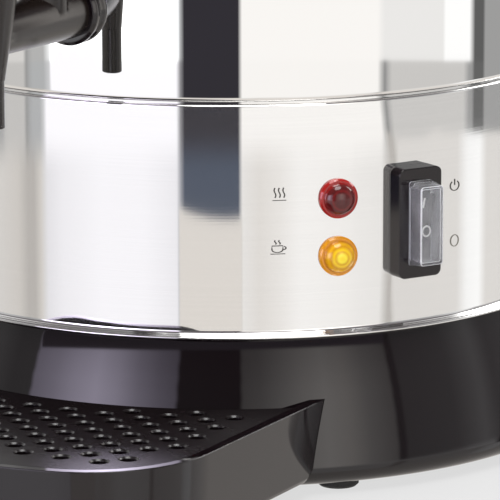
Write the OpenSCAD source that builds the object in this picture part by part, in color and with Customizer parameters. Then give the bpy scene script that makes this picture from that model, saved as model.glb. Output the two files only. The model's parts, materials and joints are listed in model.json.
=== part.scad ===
// Coffee urn with a lever tap, a level gauge and a removable drip tray.
// Millimetres, +Z up. The origin is on the table under the middle of the body,
// and the tap points along -Y. Angles round the body are counted from the tap,
// positive towards +X.

/* [Body] */
// Outside diameter of the tank and of the control band below it
body_d = 230; // [216:1:250]
// Height of the seam between the control band and the tank
seam_z = 131; // [129:0.5:140]
// Height of the tank's rolled rim
rim_z = 398; // [394:1:430]
// Steel thickness of the tank wall
tank_wall = 1.2; // [0.8:0.1:1.6]
// Thickness of the tank floor
tank_floor = 1.5; // [1.2:0.1:2.5]
// Steel thickness of the control band
band_wall = 1.2; // [0.8:0.1:1.6]
// Gap between the band's top edge and the tank's curled lower edge
seam_gap = 0.7; // [0.4:0.1:1.2]
// Radius of the tank's curled lower edge
tank_roll = 1.7; // [1.4:0.1:2]
// How far the band's bottom lip turns out
lip_out = 4; // [3:0.1:4.4]
// Height over which the band turns out
lip_rise = 2.2; // [1.8:0.1:3]
// Radius of the tank rim's roll
rim_roll = 2.5; // [2:0.1:3]

/* [Base] */
// Height of the base's underside above the table
foot_h = 3; // [2:0.5:4]
// Height of the base's top shoulder
base_top = 52.3; // [50:0.1:58]
// How much wider the base is than the body low down, per side
base_flare = 11.7; // [11:0.1:13]
// How much wider the base is than the body under its shoulder, per side
shoulder_out = 2.9; // [2.5:0.1:3.4]
// Radius of the bulge of the base's wall in profile
base_bulge_r = 200; // [170:5:300]
// Rounding of the base's shoulder
shoulder_r = 1.2; // [0.8:0.1:2]
// Rounding of the base's lower edge
base_foot_r = 6; // [5:0.5:7]
// Wall of the moulded base
base_wall = 2.5; // [2:0.1:3]
// Diameter of a rubber foot
foot_d = 14; // [10:1:15]
// Thickness of the steel bottom plate
plate_t = 1.2; // [1:0.1:2]
// Diameter of the three tie rods
rod_d = 5; // [4:0.5:6]

/* [Drip tray] */
// How far the tray's front edge stands out from the body
tray_reach = 101.1; // [98:0.1:108]
// Width of the tray where it meets the base
tray_w = 164; // [160:0.1:170]
// Width of the tray just behind its front corners
tray_front_w = 156.4; // [152:0.1:159]
// Radius of the tray's curved front edge
tray_front_r = 300; // [240:5:400]
// Radius of the tray's front corners
tray_corner_r = 42; // [36:1:46]
// Height of the tray's rim above the table
tray_top = 32.3; // [31:0.1:35]
// Height of the tray's underside above the table
tray_low = 5.5; // [5:0.1:6.5]
// How far the tray's sides lean in towards the bottom
tray_draft = 1; // [0.5:0.1:2]
// Rounding of the tray's lower edge
tray_edge = 2; // [1:0.5:3]
// Thickness of the tray's floor and of its back
tray_wall = 2.4; // [2:0.1:3]
// Width of the tray's top rim
tray_rim = 3.6; // [3:0.1:4]
// Depth of the grille's face below the tray's rim
grille_recess = 2.2; // [1.5:0.1:2.8]
// Thickness of the grille
grille_t = 3; // [2:0.1:4]
// Diameter of a grille hole
grille_hole_d = 5.5; // [4:0.1:6]
// Depth of the bevel round the top of a grille hole
hole_bevel = 0.6; // [0.3:0.1:1]
// Spacing of the grille holes along a row, with the next row half a step over
grille_pitch = 13.66; // [12:0.01:16]
// Width of a tray tongue
tongue_w = 15.2; // [12:0.1:18]

/* [Tap] */
// Height of the tap's barrel above the table
tap_z = 160; // [158:0.5:170]
// Distance of the spout's axis from the body
tap_reach = 58; // [54:0.5:66]
// Height of the lower end of the spout's taper above the table
spout_z = 145.6; // [143:0.1:147]
// Radius of the spout's taper at its lower end
spout_r = 6; // [5.6:0.1:6.5]
// Height of the spout's tip above the table
nose_z = 130.5; // [128:0.5:138]
// Radius of the spout's nose, which runs from the taper to the tip
nose_r = 5.8; // [5:0.1:5.9]
// Radius of the tap's barrel at the flange
barrel_r = 8.8; // [8.6:0.1:9.6]
// Radius of the tap flange
flange_r = 11.2; // [11:0.1:13]
// Thickness of the tap flange
flange_t = 5; // [4:0.1:6]
// Radius of the threaded shank through the tank wall
shank_r = 7.5; // [7:0.1:8]
// Radius of the valve chamber's bore
chamber_r = 6.2; // [5.8:0.1:6.4]
// How far the stem lifts when the lever is pulled
stem_lift = 3.7; // [3:0.1:4]
// Height of the lever's tip above its pin
lever_h = 52; // [40:1:60]

/* [Level gauge] */
// Distance of the gauge's axis from the body
gauge_reach = 20; // [18:0.5:24]
// Outside diameter of the glass tube
gauge_d = 10; // [8:0.5:10.4]
// Wall of the glass tube
gauge_wall = 1.4; // [1:0.1:1.8]

/* [Controls] */
// Angle of the two lamps round the body from the tap
lamp_angle = 44.5; // [40:0.1:46]
// Height of the upper lamp above the table
heating_lamp_z = 98.1; // [95:0.1:102]
// Height of the lower lamp above the table
keep_warm_lamp_z = 78.7; // [75:0.1:81]
// Diameter of a lamp lens over its flange
lamp_d = 13.3; // [12.6:0.1:15]
// Angle of the switch round the body from the tap
switch_angle = 58; // [57:0.1:62]
// Height of the switch's middle above the table
switch_z = 88.5; // [85:0.5:95]
// Width of the switch's bezel
switch_w = 16.5; // [16:0.1:18]
// Height of the switch's bezel
switch_h = 37; // [34:0.1:39]
// How far the switch's bezel stands out from the body
switch_out = 5.8; // [5:0.1:7]
// Height of the power inlet's middle above the table
inlet_z = 82; // [78:1:95]

/* [Handles] */
// Height of the side handles' middle above the table
handle_z = 335; // [300:1:350]
// Distance between the two arms of a handle
handle_span = 68; // [64:1:76]
// Distance of the grip's axis from the body
handle_out = 38; // [36:1:46]
// Radius of the grip
grip_r = 9; // [8:0.5:10]

/* [Lid] */
// Rise of the lid's dome over its rim
lid_rise = 20; // [17:1:28]
// Steel thickness of the lid
lid_t = 1; // [0.8:0.1:1.5]
// Diameter of the lid's knob
knob_d = 38; // [32:1:44]
// Height of the lid's knob
knob_h = 26; // [22:1:32]

/* [Brewing set] */
// Outside diameter of the pump tube
pump_d = 12; // [10:0.5:13]
// Wall of the pump tube
pump_wall = 1.2; // [0.8:0.1:1.4]
// Diameter of the well in the tank floor
well_d = 50; // [49:1:54]
// Depth of the well in the tank floor
well_depth = 14; // [12:0.5:16]
// Diameter of the pump foot
pump_foot_d = 44; // [40:1:46]
// Diameter of the coffee basket
basket_d = 148; // [130:1:160]
// Height of the coffee basket
basket_h = 72; // [60:1:72]
// Height of the collar that carries the basket, above the table
basket_z = 291; // [280:1:293]
// Steel thickness of the basket
basket_wall = 0.8; // [0.6:0.1:1]

/* [Heating] */
// Radius of the main heater's ring
main_heater_ring = 45; // [43:0.5:48]
// Diameter of the main heater's sheath
main_heater_d = 7; // [6:0.5:8]
// Radius of the keep-warm heater's ring
warm_heater_ring = 63; // [61:0.5:66]
// Diameter of the keep-warm heater's sheath
warm_heater_d = 5; // [4:0.5:6]
// Thickness of the aluminium heat plate
heat_plate_t = 3; // [2:0.1:4]

/* [Hidden] */

$fn = 96;
eps = 0.01;

// Clearances
slip = 0.2;          // between telescoping sheet parts
loose = 0.4;         // between parts that lift or slide apart
running = 0.05;      // shaft in its hole
thread_gap = 0.05;   // screw in its nut

// Body
body_r = body_d / 2;
band_in_r = body_r - band_wall;
skirt_r = band_in_r - slip;
skirt_h = 13;
tank_in_r = body_r - tank_wall;
floor_top = seam_z + 4.5;
floor_under = floor_top - tank_floor;
well_r = well_d / 2;
well_top = floor_top - well_depth;
floor_fillet = 6;
lip_r = body_r + lip_out;
lip_edge = 0.9;
lip_turn = lip_rise - lip_edge;
band_edge_r = 0.8;

// Base
base_r = body_r + base_flare;
widest_z = foot_h + base_foot_r + 1;
shoulder_x = body_r + shoulder_out;
shoulder_z = base_top - 4.8;
spigot_r = band_in_r - slip;
spigot_h = 8;
flange_in_r = body_r - 11;
flange_up = 3;
base_floor = foot_h + flange_up;
foot_ring_r = body_r - 2;
foot_stem_r = 3;
foot_head_r = 4;
foot_angles = [45, 135, 225, 315];
plate_r = foot_ring_r - foot_head_r - 1.5;
rod_ring_r = 88;
rod_angles = [0, 120, 240];
boss_r = rod_d / 2 + 3;
boss_h = 12;
nut_h = 2.6;
vent_w = 3;
vent_l = 22;
vent_count = 18;

// The base's wall in profile: a wide arc through its widest place and its shoulder, with its
// centre at wall_cr, wall_cz, which runs into the roundings of the lower edge and the shoulder
wall_chord = [shoulder_x - base_r, shoulder_z - widest_z];
wall_sag = sqrt(pow(base_bulge_r, 2) - pow(norm(wall_chord) / 2, 2));
wall_cr = (base_r + shoulder_x) / 2 - wall_sag * wall_chord[1] / norm(wall_chord);
wall_cz = (widest_z + shoulder_z) / 2 + wall_sag * wall_chord[0] / norm(wall_chord);
wall_a = asin((foot_h + base_foot_r - wall_cz) / (base_bulge_r - base_foot_r));
wall_b = asin((base_top - shoulder_r - wall_cz) / (base_bulge_r - shoulder_r));
foot_cr = wall_cr + (base_bulge_r - base_foot_r) * cos(wall_a);
shoulder_cr = wall_cr + (base_bulge_r - shoulder_r) * cos(wall_b);
function wall_at(z) = wall_cr + sqrt(pow(base_bulge_r, 2) - pow(z - wall_cz, 2));

// Tray, in plan: x across, v forward from the body's axis
tray_v0 = 60;
tray_v_front = body_r + tray_reach;
tray_arc_v = tray_v_front - tray_front_r;
tray_half = tray_w / 2;
tray_half_front = tray_front_w / 2;
grille_top = tray_top - grille_recess;
grille_z = grille_top - grille_t;
ledge_w = 2;
rear_gap = 0.5;
rear_cut = 4;
tongue_x = 38;
tongue_h = 6;
tongue_z = 17;
tongue_in = 12;
hole_row = grille_pitch / 2;
hole_front_v = tray_v_front - 27.3;
hole_rows = 12;
hole_edge = 16.6;
hole_back = 6;
tray_foot_d = 12;
tray_foot_x = 50;
tray_foot_v = body_r + 72;

// Tap
tap_r = body_r + tap_reach;
spout_top = tap_z + 20;
spout_slope = 0.1575;
function spout_at(z) = spout_r + spout_slope * (z - spout_z);
barrel_end_r = barrel_r - 1.4;
port_r = 4;
spout_bore = 3.8;
seat_z = tap_z - port_r - 0.6;
collar_r = spout_at(spout_top) + 0.3;
collar_top = spout_top + 8;
bonnet_wall = 1.6;
bonnet_r = collar_r + running + bonnet_wall;
bonnet_low = spout_top + 1;
bonnet_top = collar_top + 8;
bonnet_under = collar_top;
stem_r = 1.6;
neck_r = 1.3;
pin_r = 1.5;
pin_drop = 1.5;
lever_swing = 35;
pin_arm = (stem_lift - pin_drop * (1 - cos(lever_swing))) / sin(lever_swing);
pin_y = -(tap_r + pin_arm);
pin_z = bonnet_top + 9;
hub_r = 4.5;
cheek_in = 3.6;
cheek_out = 5.9;
ear_in = cheek_out + 0.4;
ear_t = 3;
tip_r = 1.6;
tip_z = pin_z - pin_drop;
head_gap = 0.15;
head_z = tip_z + tip_r + head_gap;
head_r = 3;
head_t = 2;
cup_r = chamber_r - 0.3;
cup_h = 13;
spring_r = 4;
spring_wire = 0.5;
spring_turns = 6;
shank_in = 24;
tap_seal_r = 13;
tap_seal_t = 4;
tap_nut_r = 14;
tap_nut_t = 7;
lever_w = 2 * cheek_out;
lever_back = 2.4;
lever_neck_z = pin_z + 22;
lever_neck = [12, 10, 3, 6];
lever_pad = [19, 16, 6, 7];

// Gauge
gauge_r = body_r + gauge_reach;
gauge_tube_r = gauge_d / 2;
boss_top = tap_z + 20;
socket_z = tap_z + 8.5;
seal_z = boss_top - 7;
gauge_boss_r = 8;
seal_out_r = 6.5;
shield_r = 9;
shield_wall = 1.2;
shield_top = rim_z - 12;
window_w = 8;
arm_h = 10;
arm_z = shield_top - 14;
gauge_screw_r = 2;

// Lamps and switch
lamp_hole_r = 5.1;
lamp_body_r = 5;
lamp_flange_t = 1.6;
lamp_dome_r = lamp_d / 2 - 1.3;
lamp_dome_h = 3.4;
lamp_depth = 22;
lamp_nut_t = 2.5;
lamp_tab_y = 2.5;
corner_r = 2.2;
well_w = 8.4;
well_l = 23.4;
body_w_in = 13;
body_h_in = 30;
housing_depth = 22;
cover_w = 9.2;
cover_h = 28.5;
cover_out = 6.9;
cover_wall = 0.8;
rocker_w = 6.8;
rocker_l = 20.6;
rocker_dip = 1.4;
rocker_tilt = 8;
rocker_pin_r = 1.2;
rocker_pin_n = -1.6;
switch_tab_y = 9;

// Inlet
inlet_w = 27;
inlet_h = 20;
inlet_flange_w = 31;
inlet_flange_h = 24;
inlet_flange_t = 3;
inlet_cavity_w = 24.6;
inlet_cavity_h = 16.8;
inlet_depth = 22;
inlet_cavity_depth = 17;
inlet_pin_t = 2;
inlet_pin_w = 4;
inlet_pin_places = [[-7, -2], [7, -2], [0, 2]];

// Handles
handle_bend = 16;
handle_foot = 24;
handle_foot_r = 7;
handle_foot_n = 9;
bracket_half = 6;
bracket_n = 7;
bracket_gap = 0.3;
handle_screw_r = 2;
handle_screw_n = 1;
handle_screw_in = 5;
screw_head_r = 3.8;
screw_head_h = 2.4;

// Lid
lid_edge_r = body_r + rim_roll + 0.8;
lid_skirt_r = tank_in_r - 0.9;
lid_skirt_h = 8;
lid_dome_r = lid_skirt_r - 4;
lid_seat = rim_z + 0.05;
lid_flat_r = 16;
dome_r = (pow(lid_dome_r, 2) + pow(lid_rise, 2)) / (2 * lid_rise);
function dome_z(r) = lid_seat + lid_t + lid_rise - dome_r + sqrt(pow(dome_r, 2) - pow(r, 2));
lid_top = dome_z(lid_flat_r);
function dome_points(under) =
    [for (i = [0 : 20]) let (r = lid_dome_r + (lid_flat_r - lid_dome_r) * i / 20) [r, dome_z(r) - under]];
washer_r = 15;
washer_t = 3;
knob_z = lid_top + washer_t;
knob_screw_r = 2.5;

// Brewing set
pump_r = pump_d / 2;
pump_top = rim_z - 14;
foot_disc_t = 1.2;
valve_r = 9.5;
valve_t = 1;
valve_hop = 3;
valve_z = well_top + 1 + foot_disc_t;
pump_low = valve_z + valve_t + valve_hop + 0.5;
foot_neck_z = well_top + 20;
foot_neck_h = 12;
sleeve_in = pump_r + loose;
sleeve_out = sleeve_in + 1.2;
basket_r = basket_d / 2;
cover_rim_z = basket_z + basket_h;

// Heating
plate_in_r = well_r + tank_floor + 2;
heat_plate_r = warm_heater_ring + warm_heater_d / 2 + 4.5;
heat_plate_z = floor_under - heat_plate_t;
heater_gap = 70;
heater_mid = 180;
sensor_r = 8;
sensor_h = 9;
sensor_ring_r = 50;
sensor_spread = 16;
strap_t = 1.2;
strap_w = 3.2;
pin_drop_z = 16;
sensor_tab_u = 5;

// Flat terminal tabs
tab_w = 4.8;
tab_t = 0.8;
tab_l = 7;

// Leads
wire_r = 1.1;
lamp_tail = body_r - lamp_depth - 6;
switch_tail = body_r + switch_out - housing_depth - 7;
inlet_tail = body_r - inlet_depth - 7;
heater_tail = heat_plate_z - pin_drop_z - 9;
sensor_tail = heat_plate_z - sensor_h - strap_t - 6;
cutout_angle = heater_mid + sensor_spread;
thermostat_angle = heater_mid - sensor_spread;
heater_end_a = heater_mid - heater_gap / 2;
heater_end_b = heater_mid + heater_gap / 2;
tab_out = sensor_ring_r + sensor_tab_u;
tab_in = sensor_ring_r - sensor_tab_u;

// ---- helpers ----

// Points of an arc in the plane, from angle a0 to angle a1
function arc(cx, cy, r, a0, a1, steps = 12) =
    [for (i = [0 : steps]) let (a = a0 + (a1 - a0) * i / steps) [cx + r * cos(a), cy + r * sin(a)]];

// Puts children on the body's wall: x along the wall, y up, z outwards from it
module on_wall(angle, z = 0) {
    rotate([0, 0, angle]) translate([0, -body_r, z]) rotate([90, 0, 0]) children();
}

// Puts children at a radius and an angle round the body's axis
module around(r, angle, z = 0) {
    rotate([0, 0, angle]) translate([0, -r, z]) children();
}

module tube(r_out, r_in, h) {
    difference() {
        cylinder(r = r_out, h = h);
        translate([0, 0, -1]) cylinder(r = r_in, h = h + 2);
    }
}

module rounded_rect(w, h, r) {
    square([w, h - 2 * r], center = true);
    square([w - 2 * r, h], center = true);
    for (x = [-1, 1], y = [-1, 1]) translate([x * (w / 2 - r), y * (h / 2 - r)]) circle(r = r);
}

module rounded_plate(w, h, r, t) {
    linear_extrude(height = t) rounded_rect(w, h, r);
}

// A vertical solid cylinder as wide as the body, to fit a piece against the wall
module body_core(r = body_r) {
    translate([0, 0, -10]) cylinder(r = r, h = rim_z + 60, $fn = 180);
}

// A flat terminal tab hanging from z = 0, edge to the front
module tab() {
    translate([-tab_w / 2, -tab_t / 2, -tab_l]) cube([tab_w, tab_t, tab_l + eps]);
}

// A cylinder lying along x
module bar_x(r, length) {
    rotate([0, 90, 0]) cylinder(r = r, h = length, center = true);
}

// ---- tank and body ----

module tank() color("gainsboro") difference() {
    roll_r = body_r - tank_roll;
    union() {
        rotate_extrude($fn = 180) polygon(concat(
            [[skirt_r, seam_z - skirt_h]],
            arc(roll_r, seam_z + tank_roll, tank_roll, -acos((skirt_r - roll_r) / tank_roll), 0, 8),
            [[body_r, rim_z - 2 * rim_roll]],
            arc(body_r + 1, rim_z - rim_roll, rim_roll, -110, 90, 12),
            arc(tank_in_r + 0.5, rim_z - 0.5, 0.5, 90, 180, 3),
            arc(tank_in_r - floor_fillet, floor_top + floor_fillet, floor_fillet, 0, -90, 8),
            [[well_r, floor_top], [well_r, well_top], [0, well_top], [0, well_top - tank_floor],
             [well_r + tank_floor, well_top - tank_floor], [well_r + tank_floor, floor_under],
             [skirt_r - tank_wall, floor_under], [skirt_r - tank_wall, seam_z - skirt_h]]));
        for (a = rod_angles) around(rod_ring_r, a, floor_under - boss_h)
            cylinder(r = boss_r, h = boss_h + eps);
    }
    for (a = rod_angles) around(rod_ring_r, a, floor_under - boss_h - 1)
        cylinder(r = rod_d / 2 + thread_gap, h = boss_h - 1);
    on_wall(0, tap_z) translate([0, 0, -6]) cylinder(r = shank_r + slip, h = 12);
    on_wall(0, arm_z + arm_h / 2) translate([0, 0, -6]) cylinder(r = gauge_screw_r + slip, h = 12);
}

module control_band() color("silver") difference() {
    rotate_extrude($fn = 180) polygon(concat(
        [[band_in_r, base_top]],
        arc(lip_r - lip_edge / 2, base_top + lip_edge / 2, lip_edge / 2, -90, 90, 8),
        arc(body_r + lip_turn, base_top + lip_rise, lip_turn, -90, -180, 8),
        arc(body_r - band_edge_r, seam_z - seam_gap - band_edge_r, band_edge_r, 0, 90, 4),
        [[band_in_r, seam_z - seam_gap]]));
    for (z = [heating_lamp_z, keep_warm_lamp_z])
        on_wall(lamp_angle, z) translate([0, 0, -8]) cylinder(r = lamp_hole_r, h = 16);
    on_wall(switch_angle, switch_z) translate([0, 0, -8])
        linear_extrude(height = 16) square([body_w_in + 2 * slip, body_h_in + 2 * slip], center = true);
    on_wall(180, inlet_z) translate([0, 0, -8])
        linear_extrude(height = 16) square([inlet_w + 2 * slip, inlet_h + 2 * slip], center = true);
}

// Points of the base's outside from the lower edge up to the shoulder, grown by a gap
function base_profile(gap) = concat(
    arc(foot_cr, foot_h + base_foot_r, base_foot_r + gap, -90, wall_a, 8),
    arc(wall_cr, wall_cz, base_bulge_r + gap, wall_a, wall_b, 20),
    arc(shoulder_cr, base_top - shoulder_r, shoulder_r + gap, wall_b, 90, 6));

module base() color([0.07, 0.07, 0.075]) difference() {
    under = base_top - base_wall;
    rotate_extrude($fn = 180) polygon(concat(
        base_profile(0),
        [[spigot_r, base_top], [spigot_r, base_top + spigot_h],
         [spigot_r - base_wall, base_top + spigot_h], [spigot_r - base_wall, under]],
        arc(wall_cr, wall_cz, base_bulge_r - base_wall,
            asin((under - wall_cz) / (base_bulge_r - base_wall)), wall_a, 10),
        arc(foot_cr, foot_h + base_foot_r, base_foot_r - base_wall,
            wall_a, asin((flange_up - base_foot_r) / (base_foot_r - base_wall)), 6),
        [[flange_in_r, base_floor], [flange_in_r, foot_h]]));
    for (a = foot_angles) around(foot_ring_r, a, foot_h - 1)
        cylinder(r = foot_stem_r + thread_gap, h = flange_up + 2);
    for (x = [-1, 1]) translate([x * tongue_x, -base_r + 15, tongue_z])
        cube([tongue_w + 2 * loose, 40, tongue_h + 2 * loose], center = true);
}

module bottom_plate() color("darkgray") difference() {
    translate([0, 0, base_floor]) cylinder(r = plate_r, h = plate_t, $fn = 180);
    for (a = rod_angles) around(rod_ring_r, a, base_floor - 1)
        cylinder(r = rod_d / 2 + slip, h = plate_t + 2);
    for (i = [0 : vent_count - 1]) rotate([0, 0, 360 / vent_count * (i + 0.5)])
        translate([-vent_w / 2, 40, base_floor - 1]) cube([vent_w, vent_l, plate_t + 2]);
}

module tie_rods() color("silver")
    for (a = rod_angles) around(rod_ring_r, a, foot_h + 0.2)
        cylinder(r = rod_d / 2, h = floor_under - 3 - foot_h - 0.2);

module tie_nuts() color("silver")
    for (a = rod_angles) around(rod_ring_r, a, base_floor - nut_h) difference() {
        cylinder(r = rod_d / 2 + 2.4, h = nut_h, $fn = 6);
        translate([0, 0, -1]) cylinder(r = rod_d / 2 + thread_gap, h = nut_h + 2);
    }

module rubber_feet() color([0.12, 0.12, 0.12])
    for (a = foot_angles) around(foot_ring_r, a) rotate_extrude()
        polygon([[0, 0], [foot_d / 2 - 0.8, 0], [foot_d / 2, 0.8], [foot_d / 2, foot_h],
            [foot_stem_r, foot_h], [foot_stem_r, base_floor], [foot_head_r, base_floor],
            [foot_stem_r - 1, base_floor + 2.4], [0, base_floor + 2.4]]);

// ---- drip tray ----

// The tray's outline in plan, drawn in by inset, with y forward
function tray_points(inset) =
    let (half = tray_half_front - inset, cr = tray_corner_r - min(inset, tray_corner_r - 2),
         reach_r = tray_front_r - inset, cx = half - cr,
         cv = tray_arc_v + sqrt(pow(reach_r - cr, 2) - pow(cx, 2)),
         a_end = atan2(cv - tray_arc_v, cx))
    concat(
        [[tray_half - inset, tray_v0]],
        arc(cx, cv, cr, 0, a_end, 10),
        arc(0, tray_arc_v, reach_r, a_end, 180 - a_end, 24),
        arc(-cx, cv, cr, 180 - a_end, 180, 10),
        [[-tray_half + inset, tray_v0]]);

// The outline as a flat shape in the model's own axes, where forward is -Y
module tray_shape(inset) {
    rotate([0, 0, 180]) polygon(tray_points(inset));
}

// The space that the tray's back keeps clear: the base's wall grown by a gap. Below the wall's
// widest place it opens out, so that the tray's lower back edge is bevelled.
module base_form(gap) {
    rotate_extrude($fn = 180) polygon(concat(
        [[0, foot_h - 10], [base_r + gap + rear_cut, foot_h - 10], [base_r + gap + rear_cut, tray_low]],
        arc(wall_cr, wall_cz, base_bulge_r + gap, wall_a, wall_b, 20),
        [[0, base_top]]));
}

module drip_tray() color([0.07, 0.07, 0.075]) difference() {
    union() {
        difference() {
            hull() for (level = [[tray_low, tray_draft + tray_edge],
                    [tray_low + tray_edge / 3, tray_draft + tray_edge / 3],
                    [tray_low + tray_edge, tray_draft], [tray_top - eps, 0]])
                translate([0, 0, level[0]]) linear_extrude(height = eps) tray_shape(level[1]);
            base_form(rear_gap);
        }
        for (x = [-1, 1]) translate([x * tongue_x - tongue_w / 2, -base_r - 1, tongue_z - tongue_h / 2])
            cube([tongue_w, tongue_in + 6, tongue_h]);
    }
    difference() {
        translate([0, 0, tray_low + tray_wall]) linear_extrude(height = grille_z + 0.02 - tray_low - tray_wall)
            tray_shape(tray_rim + ledge_w);
        base_form(rear_gap + tray_wall + ledge_w);
    }
    translate([0, 0, grille_z]) linear_extrude(height = 20) tray_shape(tray_rim);
}

module tray_feet() color([0.12, 0.12, 0.12])
    for (x = [-1, 1]) translate([x * tray_foot_x, -tray_foot_v, 0]) rotate_extrude()
        polygon([[0, 0], [tray_foot_d / 2 - 0.8, 0], [tray_foot_d / 2, 0.8],
            [tray_foot_d / 2, tray_low], [0, tray_low]]);

// Whether a grille hole at x, v keeps its distance from the tray's edges and from the base
function hole_fits(x, v) =
    let (cx = tray_half_front - tray_corner_r,
         cv = tray_arc_v + sqrt(pow(tray_front_r - tray_corner_r, 2) - pow(cx, 2)),
         past_corner = abs(x) > cx && v > cv - hole_row)
    abs(x) <= tray_half_front - hole_edge
    && norm([x, v]) >= wall_at(grille_top) + hole_back
    && (!past_corner || norm([abs(x) - cx, v - cv]) <= tray_corner_r - hole_edge);

module drip_grille() color([0.09, 0.09, 0.1]) difference() {
    translate([0, 0, grille_z]) linear_extrude(height = grille_t) tray_shape(tray_rim + loose);
    base_form(rear_gap + loose);
    for (row = [0 : hole_rows - 1], col = [-7 : 7]) {
        x = (col + (row % 2 == 0 ? 0.5 : 0)) * grille_pitch;
        v = hole_front_v - row * hole_row;
        if (hole_fits(x, v)) translate([x, -v, grille_z - 1]) {
            cylinder(d = grille_hole_d, h = grille_t + 2, $fn = 32);
            translate([0, 0, grille_t + 1 - hole_bevel])
                cylinder(d1 = grille_hole_d, d2 = grille_hole_d + 4 * hole_bevel, h = 2 * hole_bevel, $fn = 32);
        }
    }
}

// ---- tap ----

module tap_flange() color([0.06, 0.06, 0.06]) difference() {
    on_wall(0, tap_z) rotate_extrude()
        polygon([[shank_r + slip, -2], [flange_r - 1.2, -2], [flange_r - 1.2, 0], [flange_r, flange_t / 2],
            [flange_r, flange_t - 1], [flange_r - 1, flange_t], [shank_r + slip, flange_t]]);
    body_core();
}

module tap_body() color([0.07, 0.07, 0.075]) difference() {
    union() {
        on_wall(0, tap_z) translate([0, 0, -shank_in]) cylinder(r = shank_r, h = shank_in + flange_t + 1);
        on_wall(0, tap_z) translate([0, 0, flange_t])
            cylinder(r1 = barrel_r, r2 = barrel_end_r, h = tap_reach - flange_t);
        translate([0, -tap_r, spout_z])
            cylinder(r1 = spout_r, r2 = spout_at(spout_top), h = spout_top - spout_z);
        translate([0, -tap_r, nose_z]) cylinder(r = nose_r, h = spout_z - nose_z + 1);
        translate([0, -tap_r, spout_top]) cylinder(r = collar_r, h = collar_top - spout_top);
        translate([0, -gauge_r, tap_z]) cylinder(r = gauge_boss_r, h = boss_top - tap_z);
    }
    on_wall(0, tap_z) translate([0, 0, -shank_in - 1]) cylinder(r = port_r, h = shank_in + 1 + tap_reach);
    translate([0, -tap_r, nose_z - 1]) cylinder(r = spout_bore, h = seat_z - nose_z + 2);
    translate([0, -tap_r, seat_z]) cylinder(r = chamber_r, h = collar_top - seat_z + 1);
    translate([0, -gauge_r, tap_z]) cylinder(r = gauge_tube_r - gauge_wall, h = boss_top - tap_z + 1);
    translate([0, -gauge_r, socket_z]) cylinder(r = gauge_tube_r + 0.1, h = boss_top - socket_z + 1);
    translate([0, -gauge_r, seal_z]) cylinder(r = seal_out_r, h = boss_top - seal_z + 1);
}

module tap_seal() color("lightgray") intersection() {
    on_wall(0, tap_z) translate([0, 0, -tap_seal_t]) tube(tap_seal_r, shank_r + thread_gap, 2 * tap_seal_t);
    body_core(tank_in_r);
}

module tap_nut() color([0.1, 0.1, 0.1]) on_wall(0, tap_z) translate([0, 0, -tap_seal_t - tap_nut_t])
    difference() {
        cylinder(r = tap_nut_r, h = tap_nut_t, $fn = 6);
        translate([0, 0, -1]) cylinder(r = shank_r + thread_gap, h = tap_nut_t + 2);
    }

module tap_bonnet() color([0.07, 0.07, 0.075]) difference() {
    union() {
        translate([0, -tap_r, bonnet_low]) cylinder(r = bonnet_r, h = bonnet_top - bonnet_low);
        for (x = [-1, 1]) {
            translate([x * (ear_in + ear_t / 2), pin_y, pin_z]) bar_x(hub_r, ear_t);
            translate([x * (ear_in + ear_t / 2) - ear_t / 2, pin_y - hub_r, bonnet_top - 3])
                cube([ear_t, 2 * hub_r, pin_z - bonnet_top + 3]);
        }
    }
    translate([0, -tap_r, bonnet_low - 1])
        cylinder(r = collar_r + thread_gap, h = bonnet_under - bonnet_low + 1);
    translate([0, -tap_r, bonnet_under - 1])
        cylinder(r = stem_r + running, h = bonnet_top - bonnet_under + 2);
    translate([0, pin_y, pin_z]) bar_x(pin_r, 30);
}

module tap_pin() color("silver") translate([0, pin_y, pin_z]) bar_x(pin_r, 2 * (ear_in + ear_t));

// A slab of the lever's hub, from z upwards
module lever_block(z, h) {
    translate([-cheek_out, pin_y - hub_r, z]) cube([lever_w, 2 * hub_r - lever_back, h]);
}

// A rounded plate of the lever facing forward: its size is width, height, corner radius and thickness
module lever_plate(size, forward, z) {
    translate([0, pin_y - forward, z]) rotate([90, 0, 0])
        rounded_plate(size[0], size[1], size[2], size[3], $fn = 32);
}

module tap_lever() color([0.06, 0.06, 0.06]) difference() {
    union() {
        for (x = [-1, 1]) {
            translate([x * (cheek_in + cheek_out) / 2, pin_y, pin_z]) bar_x(hub_r, cheek_out - cheek_in);
            translate([x * (cheek_in + cheek_out) / 2, 0, 0]) hull() {
                translate([0, pin_y, tip_z]) bar_x(tip_r, cheek_out - cheek_in, $fn = 32);
                translate([0, -tap_r, tip_z]) bar_x(tip_r, cheek_out - cheek_in, $fn = 32);
            }
            translate([x * (cheek_out + neck_r + 0.4) / 2, -tap_r, tip_z])
                bar_x(tip_r, cheek_out - neck_r - 0.4);
        }
        lever_block(pin_z - 1.5, 12);
        hull() {
            lever_block(pin_z + 8, 1);
            lever_plate(lever_neck, 3, lever_neck_z);
        }
        hull() {
            lever_plate(lever_neck, 3, lever_neck_z);
            lever_plate(lever_pad, 6, pin_z + lever_h - lever_pad[1] / 2);
        }
    }
    translate([0, pin_y, pin_z]) bar_x(pin_r + running, 30);
}

module tap_stem() color("silver") translate([0, -tap_r, 0]) {
    translate([0, 0, seat_z + 4]) cylinder(r = stem_r, h = bonnet_top + 1 - seat_z - 4);
    translate([0, 0, bonnet_top + 1 - eps]) cylinder(r = neck_r, h = head_z - bonnet_top - 1 + 2 * eps);
    translate([0, 0, head_z]) cylinder(r = head_r, h = head_t);
}

module seat_cup() color("lightgray") translate([0, -tap_r, seat_z]) rotate_extrude()
    polygon(concat([[0, 0]], arc(cup_r - 2, 2, 2, -90, 0, 6), [[cup_r, 6], [cup_r - 1.5, cup_h],
        [stem_r, cup_h], [stem_r, 4], [0, 4]]));

function unit(v) = v / norm(v);

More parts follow.
